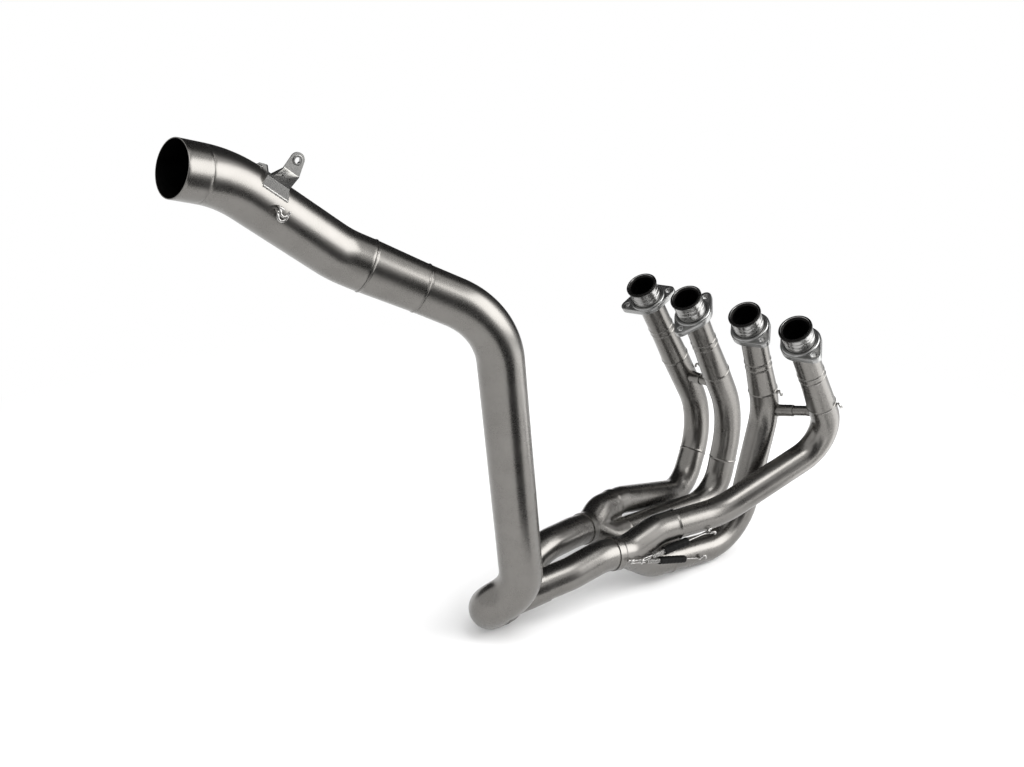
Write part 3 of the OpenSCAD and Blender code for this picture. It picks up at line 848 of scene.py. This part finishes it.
def buildBalance(kind, i, j):
    # a short tube out of the primary's wall: its radius plus a gaussian fillet of weld at its foot
    across, share = balanceTube[kind], balanceTube[kind + "Share"]
    u = unit(crossings[j] - crossings[i])
    start = primaryTube["wide"] / 2 - balanceTube["sunk"]
    end = share * np.linalg.norm(crossings[j] - crossings[i])
    name, node = "balance%s%d" % (kind.capitalize(), i + 1), "balance_%s_%d" % (kind, i + 1)
    buildTube(name, straightPath(crossings[i] + start * u, crossings[i] + end * u),
              lambda s: across / 2 + balanceTube["fillet"] * np.exp(-((s - 2.2) / 1.6) ** 2),
              balanceTube["wall"], node, hot=(3.0,), around=64)


for kind, i, j in (("sleeve", 0, 1), ("stub", 1, 0), ("sleeve", 2, 3), ("stub", 3, 2)):
    buildBalance(kind, i, j)

# Bracket and bush: the CAD's own folded sheet, with its edges rounded
bracket = {"along": 49.0, "edge": 0.35, "sheet": 2.0, "bushAt": (6.0, 7.0, 26.5), "eye": 3.2, "bushBody": 1.2,
           "bushRim": 2.4}


def roundedCopy(node, name, edge):
    # a merged copy of a node's triangles, flat areas joined, outer edges bevelled
    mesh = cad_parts[node].data.copy()
    mesh.name = name
    work = bmesh.new()
    work.from_mesh(mesh)
    bmesh.ops.remove_doubles(work, verts=work.verts, dist=1e-5)
    bmesh.ops.dissolve_limit(work, angle_limit=math.radians(2), verts=work.verts, edges=work.edges)
    work.to_mesh(mesh)
    work.free()
    mesh.materials.clear()
    made = linkObject(name, mesh)
    bevel = made.modifiers.new("edge", "BEVEL")
    bevel.width = edge / 1000
    bevel.segments = 2
    bevel.limit_method = "ANGLE"
    bevel.angle_limit = math.radians(35)
    return made


finishPiece(roundedCopy("bracket", "hangerBracket", bracket["edge"]), [bracketMetal], ["bracket"])
bracketY = unit(shoulder - crook)
bracketX = unit(np.cross(bracketY, (0, 0, 1)))
bracketZ = np.cross(bracketX, bracketY)
bracketAt = crook + bracket["along"] * bracketY
bushOut, bushOn, bushRise = bracket["bushAt"]
bushAt = bracketAt + bushOut * bracketX + bushOn * bracketY + (linkPipe["upper"] / 2 + bushRise) * bracketZ
bushEye, bushHigh = bracket["eye"], bracket["sheet"] + 2
bushBody, bushRim = bushEye + bracket["bushBody"], bushEye + bracket["bushRim"]
bushProfile = [(0, bushEye, 0), (0, bushRim, 0), (1, bushRim, 0), (1, bushBody, 0), (bushHigh - 1, bushBody, 0),
               (bushHigh - 1, bushRim, 0), (bushHigh, bushRim, 0), (bushHigh, bushEye, 0)]
bush = latheAlong("bracketBush", straightPath(bushAt, bushAt - 10 * bracketX), arcCorners(bushProfile, 0.3), 48,
                  sharp=40)
finishPiece(bush, [bushMetal], ["bracket_bush"])
print("bracket and balance tubes built")

# Springs, their rubber sleeves and the wire hooks
springKit = {"wire": 1.6, "coil": 3.0, "turns": 9, "eye": 2.3, "hookWire": 3.0, "hookRise": 8.4, "foot": 5.0,
             "hookSize": (1.2, 1.0), "rubber": (12.0, 11.0), "bore": 7.6, "coils": ((0.14, 0.33), (0.2, 0.4)),
             "covered": ((0.31, 0.67), (0.375, 0.75))}


def rodAlong(name, path, radius, around=20):
    # a closed wire: a circle of the given radius carried along the path, its two ends drawn in and capped
    length = path["s"][-1]
    inset, drawn = np.array([0, 0.12, 0.4]), np.array([0.35, 0.66, 0.9])
    middle = np.linspace(0.9, length - 0.9, max(6, int(length / 0.45)))
    s = np.concatenate([inset, middle, length - inset[::-1]])
    r = radius(s) * np.concatenate([drawn, np.ones(len(middle)), drawn[::-1]])
    points, straight = circleAlong(path, s, np.repeat(r[:, None], around, axis=1))
    last = (len(s) - 1) * around
    faces = gridFaces(len(s), around, False)[:, ::-1].tolist()
    faces += [list(range(around - 1, -1, -1)), list(range(last, last + around))]
    return makeMesh(name, points, faces, None, straight)


def hookAxes(out, pull):
    # the way out of the skin, and the pull less its part along that way
    out, pull = unit(out), np.asarray(pull, float)
    return out, unit(pull - (pull @ out) * out)


def wireHook(name, base, out, pull, size=1.0, flip=1):
    # foot welded along the tube, a post that rises from it, and a tip bent back, away from the spring's pull
    out, pull = hookAxes(out, pull)
    side = np.cross(out, pull) * flip
    rise, foot = springKit["hookRise"] * size, springKit["foot"] * size
    shape = np.array([(-foot, 0.7, 0), (-foot * 0.5, 0.75, 0), (-1.2, 1.0, 0), (0.7, 2.1, 0.0), (1.3, 4.0, 0.4),
                      (1.0, rise - 2.8, 2.0 * size), (-0.9 * size, rise - 1.8, 4.4 * size),
                      (-3.6 * size, rise - 1.0, 4.8 * size), (-5.6 * size, rise - 0.6, 2.6 * size),
                      (-5.6 * size, rise - 0.4, -0.6 * size)])
    points = np.asarray(base, float) + shape[:, :1] * pull + shape[:, 1:2] * out + shape[:, 2:] * side
    weld = foot * 0.75

    def radius(s):
        # the wire, thicker and lumpy where its foot is welded down
        lump = np.clip((weld - s) / 2.5 + 0.5, 0, 1) * np.clip(s / 1.5, 0.3, 1)
        return springKit["hookWire"] / 2 * (1 + lump * (0.34 + 0.12 * np.sin(s * 2.1)))
    return rodAlong(name, asPath(curveThrough(points), 3, 0.3), radius)


def curveThrough(points, steps=10):
    # Catmull-Rom curve: each span blends its four neighbours with the usual cubic weights
    p = np.vstack([2 * points[0] - points[1], points, 2 * points[-1] - points[-2]])
    t = (np.arange(steps) / steps)[None, :, None]
    a, b, c, d = (p[k:len(p) - 3 + k, None, :] for k in range(4))
    run = 0.5 * (2 * b + (c - a) * t + (2 * a - 5 * b + 4 * c - d) * t ** 2 + (3 * b - a - 3 * c + d) * t ** 3)
    return np.vstack([run.reshape(-1, 3), points[-1:]])


def postOf(base, out, pull, size=1.0):
    # where a spring's eye lies round a hook's post
    out, pull = hookAxes(out, pull)
    return np.asarray(base, float) + 1.2 * pull + 3.6 * size * out


def springWire(name, first, second, normal, coilFrom, coilTo):
    # an eye round the first post, a wire on to the coil, the coil, a wire on and an eye round the second post:
    # eyes = post + r (cos a along + sin a across), coil = first + length along + r (cos across + sin up)
    axis = second - first
    length = np.linalg.norm(axis)
    q = axis / length
    e1 = unit(np.cross(normal, q))
    e2 = np.cross(q, e1)
    eye, coil, turns = springKit["eye"], springKit["coil"], springKit["turns"]
    a = np.linspace(-np.pi / 2, np.pi / 2, 13)[:, None]
    head = first - eye * np.cos(a) * q + eye * np.sin(a) * e1
    start = first + (coilFrom - 1.5) * q - (eye * 0.75) * e1
    t = np.linspace(0, 1, turns * 24)[:, None]
    swell = coil * np.clip(np.minimum(t, 1 - t) * turns * 1.6 + 0.55, 0, 1)
    around = np.cos(2 * np.pi * turns * t) * e1 + np.sin(2 * np.pi * turns * t) * e2
    helix = first + (coilFrom + (coilTo - coilFrom) * t) * q + swell * around
    on = first + np.array([[coilTo + 3.0], [length - 9.0]]) * q
    b = np.linspace(-np.pi * 0.55, np.pi * 0.75, 15)[:, None]
    tail = second + eye * np.cos(b) * q + eye * np.sin(b) * e1
    path = asPath(np.vstack([start[None], head, helix, on, tail]), 5, 0.35)
    return rodAlong(name, path, lambda s: springKit["wire"] / 2 + 0 * s, 14)


def weldSeam(name, points, thick):
    # a lumpy bead along a line of points: its radius is swollen by 1 + 0.2 sin(2.6 s) + 0.1 sin(1.1 s + 1)
    path = asPath(curveThrough(np.asarray(points, float)), 3, 0.3)
    return rodAlong(name, path, lambda s: thick / 2 * (1 + 0.2 * np.sin(2.6 * s) + 0.1 * np.sin(1.1 * s + 1)))


def rubberSleeve(name, first, second, start, end, across):
    # a soft tube over the spring: hollow, slightly barrelled, with rolled ends and a faint waviness
    q = unit(second - first)
    length = end - start
    s = np.linspace(0, length, 40)
    rolled = 0.55 * (np.exp(-s / 0.7) + np.exp(-(length - s) / 0.7))
    outer = across / 2 - rolled + 0.14 * np.sin(s * 0.8 + 0.6) + 0.08 * np.sin(s * 2.3)
    rows = [(x, y, 0) for x, y in zip(s, outer)]
    rows += [(x, springKit["bore"] / 2, 0) for x in np.linspace(length, 0, 12)]
    return latheAlong(name, straightPath(first + start * q, first + end * q), rows, 48, sharp=60)


rubberLook = {"stretch": (0.2, 0.2, 1.0), "dark": (0.002, 0.002, 0.002, 1), "light": (0.008, 0.0078, 0.0075, 1),
              "lines": 1400.0, "clouds": 160.0, "gloss": 0.06, "rough": 0.42, "roughSpread": 0.25, "bump": 0.25,
              "bumpDepth": 0.0003}


def rubberMaterial(look):
    # black rubber: cloudy dark colour and roughness, with a fine moulded grain
    material, tree, shader = newMaterial("blackRubber", {"Specular IOR Level": look["gloss"]})
    lines, clouds = grainOf(tree, vectorSource(tree, True), look)
    rough = mathNode(tree, "ADD", mathNode(tree, "MULTIPLY", clouds, look["roughSpread"]), look["rough"])
    dress(tree, shader, mixColor(tree, clouds, look["dark"], look["light"]), rough, lines,
          look["bump"], look["bumpDepth"])
    return material


blackRubber = rubberMaterial(rubberLook)


def seatedOnCollector(point):
    # the point moved down the melted field onto the near collector's skin, with the way out of it
    p = np.asarray(point, float)[None]
    for _ in range(8):
        value, slope = meltedLegs(p, nearLegs)
        p = p - value[:, None] * slope
    return p[0], slope[0]


def seatedOnPrimary(i, point):
    # the point moved straight out from, or in towards, the primary's axis onto its wall
    p = np.asarray(point, float)
    value, away = legField(p[None], primaryPaths[i], lambda s: primaryTube["wide"] / 2 + 0 * s)
    return p - value[0] * away[0], away[0]


# the two hooks on the near collector, and the one on primary 4 and on primary 3 that each spring pulls towards
collectorHooks = [seatedOnCollector((48, -199.6, 68.8)), seatedOnCollector((47, -219.5, 73.5))]
primaryHooks = [seatedOnPrimary(3, (75.0, -83.0, 82.8)), seatedOnPrimary(2, (56.8, -74.9, 26.7))]
for k, place in enumerate(("Upper", "Lower")):
    (baseA, outA), (baseB, outB) = collectorHooks[k], primaryHooks[k]
    pull, size = baseB - baseA, springKit["hookSize"][k]
    hooks = join([wireHook("springHooks" + place, baseA, outA, pull), wireHook("hook", baseB, outB, -pull, size, -1)])
    finishPiece(hooks, [wireMetal])
    first, second = postOf(baseA, outA, pull), postOf(baseB, outB, -pull, size)
    reach = np.linalg.norm(second - first)
    coilFrom, coilTo = [f * reach for f in springKit["coils"][k]]
    sleeveFrom, sleeveTo = [f * reach for f in springKit["covered"][k]]
    wire = springWire("spring" + place, first, second, unit(outA), coilFrom, coilTo)
    finishPiece(wire, [wireMetal])
    sleeve = rubberSleeve("rubberSleeve" + place, first, second, sleeveFrom, sleeveTo, springKit["rubber"][k])
    finishPiece(sleeve, [blackRubber])

# each balance tube's hook: its foot, the way out of the tube and the pull along it
balanceHooks = (((-123.9, 125.6, 225.8), (0.6, 0.7, 0.4), (0, -0.5, 0.8)),
                ((70.2, 71.2, 252.8), (0.9, 0.3, 0.1), (0.1, -0.45, 0.9)),
                ((154.5, 96.7, 250.0), (0.9, 0.4, 0.2), (0.1, -0.5, 0.85)))
balancePieces = [wireHook("balanceHooks", base, out, pull, 0.95) for base, out, pull in balanceHooks]
finishPiece(join(balancePieces), [wireMetal])

# the weld at the bracket's foot: along its wall, and round the pipe under its gusset
bracketWeld = {"wallAt": 27.3, "wallRun": (-22.5, 11.0), "gussetRun": (9.0, -8.0), "gussetAt": -24.2, "thick": 2.6}


def bracketFoot(x, y):
    # a point of the pipe's skin under the bracket: height = square root of radius squared less x squared
    return bracketAt + x * bracketX + y * bracketY + math.sqrt((linkPipe["upper"] / 2) ** 2 - x * x) * bracketZ


wallFoot = [bracketFoot(bracketWeld["wallAt"], y) for y in np.linspace(*bracketWeld["wallRun"], 8)]
gussetFoot = [bracketFoot(x, bracketWeld["gussetAt"]) for x in np.linspace(*bracketWeld["gussetRun"], 8)]
weldBeads = [weldSeam("bracketWeld", wallFoot, bracketWeld["thick"]),
             weldSeam("bead", gussetFoot, bracketWeld["thick"])]
finishPiece(join(weldBeads), [bracketMetal])

# the double hook under the bracket, for the silencer's springs
silencerHook = {"along": 2.0, "apart": 5.0, "size": 1.5}
silencerOut = unit(bracketX + 0.05 * bracketZ)
silencerAt = bracketAt + silencerHook["along"] * bracketY + (linkPipe["upper"] / 2) * silencerOut
silencerStep = silencerHook["apart"] * np.cross(silencerOut, bracketY)
silencerPieces = [wireHook("silencerHooks", silencerAt + k * silencerStep, silencerOut, -bracketY,
                           silencerHook["size"]) for k in (-0.5, 0.5)]
finishPiece(join(silencerPieces), [wireMetal])
print("springs and hooks built")

# Floor, light and camera
camera = {"lens": 36 * 1284 / 1024, "azimuth": 46.0, "elevation": 21.78, "eye": (1057.8, -1424.3, 963.6)}
studio = {"floorSize": 40.0, "floorColor": (0.93, 0.93, 0.93, 1), "worldLight": 1.0, "plainInside": 0.75,
          "plainOutside": 1.3, "flagColor": (0.03, 0.03, 0.031, 1), "greyColor": (0.42, 0.42, 0.42, 1), "glow": 3.0,
          "cardSteps": 17, "cardLift": 0.0015}
floorLow = min(0.0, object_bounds()[0][2])


def lightPathSeen(tree):
    # 1 for rays that show the background itself: from the camera, from gloss and through glass
    light = newNode(tree, "LightPath", {}).outputs
    first = mathNode(tree, "MAXIMUM", light["Is Camera Ray"], light["Is Glossy Ray"])
    return mathNode(tree, "MAXIMUM", first, light["Is Transmission Ray"])


def buildFloor():
    # a pale floor that keeps the contact shadow, and turns into plain white away from the header
    mesh = bpy.data.meshes.new("floor")
    half = studio["floorSize"] / 2
    mesh.from_pydata([(x, y, floorLow) for x, y in ((-half, -half), (half, -half), (half, half), (-half, half))],
                     [], [(0, 1, 2, 3)])
    material, tree, shader = newMaterial("paleFloor", {"Base Color": studio["floorColor"], "Roughness": 0.9,
                                                       "Specular IOR Level": 0.1})
    place = newNode(tree, "TexCoord", {}).outputs["Object"]
    length = newNode(tree, "VectorMath", {0: place}, operation="LENGTH").outputs["Value"]
    limits = {"From Min": studio["plainInside"], "From Max": studio["plainOutside"], "Value": length}
    ramp = newNode(tree, "MapRange", limits, interpolation_type="SMOOTHSTEP").outputs["Result"]
    white = newNode(tree, "Emission", {"Strength": 1.0}).outputs[0]
    mix = newNode(tree, "MixShader", {0: mathNode(tree, "MULTIPLY", ramp, lightPathSeen(tree)),
                                      1: shader.outputs[0], 2: white})
    feed(tree, tree.nodes["Material Output"].inputs["Surface"], mix.outputs[0])
    mesh.materials.append(material)
    linkObject("floor", mesh)


def buildWorld():
    # plain white where it is seen, and the studio's own strength where it only gives light
    world = bpy.data.worlds.new("studioWorld")
    bpy.context.scene.world = world
    world.use_nodes = True
    tree = world.node_tree
    tree.nodes.clear()
    limits = {"To Min": studio["worldLight"], "To Max": 1.0, "Value": lightPathSeen(tree)}
    strength = newNode(tree, "MapRange", limits).outputs["Result"]
    plain = newNode(tree, "Background", {"Color": (1, 1, 1, 1), "Strength": strength})
    newNode(tree, "OutputWorld", {"Surface": plain.outputs[0]})


def towards(azimuth, distance, height):
    # a point of the studio: its azimuth is counted to the right from the camera's side, in degrees
    a = math.radians(camera["azimuth"] - 90 + azimuth)
    return np.array([distance * math.cos(a), distance * math.sin(a), height])


def facing(made, origin, target):
    # turned so that its local z points from the target to its origin
    made.location = Vector(origin)
    made.rotation_euler = (Vector(origin) - Vector(target)).to_track_quat("Z", "Y").to_euler()


def areaLamp(name, origin, target, size, power):
    lamp = bpy.data.lights.new(name, "AREA")
    lamp.shape = "RECTANGLE"
    lamp.size, lamp.size_y = size
    lamp.energy = power
    made = linkObject(name, lamp)
    facing(made, origin, target)
    made.visible_camera = False


def glossCard(name, first, second, material):
    # a strip of faces between two rows of points, that only shows in the gloss of the metal
    mesh = bpy.data.meshes.new(name)
    n = len(first)
    k = np.arange(n - 1)
    mesh.from_pydata(np.vstack([first, second]), [], np.stack([k, k + 1, k + n + 1, k + n], axis=-1).tolist())
    mesh.materials.append(material)
    made = linkObject(name, mesh)
    made.visible_camera = made.visible_diffuse = made.visible_transmission = made.visible_shadow = False


def darkFlag(name, azimuth, width, distance, low, high, lean=0.0):
    # a studio flag: a curved dark card that stands round the header
    steps = azimuth + np.linspace(-0.5, 0.5, studio["cardSteps"]) * width
    glossCard(name, [towards(a, distance, low) for a in steps],
              [towards(a, distance - lean, high) for a in steps], flagBlack)


def floorFlag(name, center, azimuth, width, near, far, material, lift=0.0):
    # a card laid on the floor or hung over it: a sector of a ring, from the near to the far radius round a point
    width = np.radians(np.linspace(-0.5, 0.5, studio["cardSteps"]) * width)
    steps = math.radians(camera["azimuth"] - 90 + azimuth) + width
    around = np.column_stack([np.cos(steps), np.sin(steps), 0 * steps])
    foot = np.array([center[0], center[1], floorLow + studio["cardLift"] + lift])
    glossCard(name, foot + far * around, foot + near * around, material)


def cardMaterial(name, color, glow=0.0):
    # a matt card, or a lit one where it glows
    return newMaterial(name, {"Base Color": color, "Roughness": 1.0, "Specular IOR Level": 0.0,
                              "Emission Color": (1, 1, 1, 1), "Emission Strength": glow})[0]


flagBlack = cardMaterial("flagBlack", studio["flagColor"])
flagGrey = cardMaterial("flagGrey", studio["greyColor"])
glowWhite = cardMaterial("glowWhite", studio["flagColor"], studio["glow"])
buildFloor()
buildWorld()
pipeFoot, portFoot = (0.03, -0.1), (0.14, 0.37)
darkFlag("flagBack", 184, 116, 2.4, 0.02, 4.2, 0.5)
darkFlag("flagFront", 13, 76, 2.6, 0.02, 1.45)
floorFlag("flagFloorFront", pipeFoot, 48, 46, 0.22, 2.3, flagBlack)
floorFlag("flagFloorPorts", portFoot, 66, 46, 0.1, 0.5, flagGrey)
floorFlag("flagAbove", (-0.5, 0.5), 180, 360, 0.02, 0.8, flagBlack, 2.7)
floorFlag("glowFloorRight", (0.05, 0.0), 99, 42, 0.5, 2.3, glowWhite)
areaLamp("softRight", towards(85, 2.3, 1.25), (0, 0, 0.35), (2.2, 1.95), 62)
areaLamp("softTop", towards(30, 1.0, 2.2), (0, 0, 0.2), (0.9, 0.9), 14)


def buildCamera():
    # the photograph's own viewpoint, leaned and shifted with the header
    a, e = math.radians(camera["azimuth"]), math.radians(camera["elevation"])
    ahead = turned((-math.sin(a) * math.cos(e), math.cos(a) * math.cos(e), -math.sin(e)))
    right = turned((math.cos(a), math.sin(a), 0))
    up = np.cross(right, ahead)
    data = bpy.data.cameras.new("photoCamera")
    data.sensor_width = 36.0
    data.sensor_fit = "HORIZONTAL"
    data.lens = camera["lens"]
    data.clip_end = 50
    made = linkObject("photoCamera", data)
    rows = np.eye(4)
    rows[:3, 0], rows[:3, 1], rows[:3, 2], rows[:3, 3] = right, up, -ahead, placed(camera["eye"])
    made.matrix_world = Matrix(rows.tolist())
    bpy.context.scene.camera = made


buildCamera()
bpy.context.scene.view_settings.view_transform = "Standard"

print("scene ready")
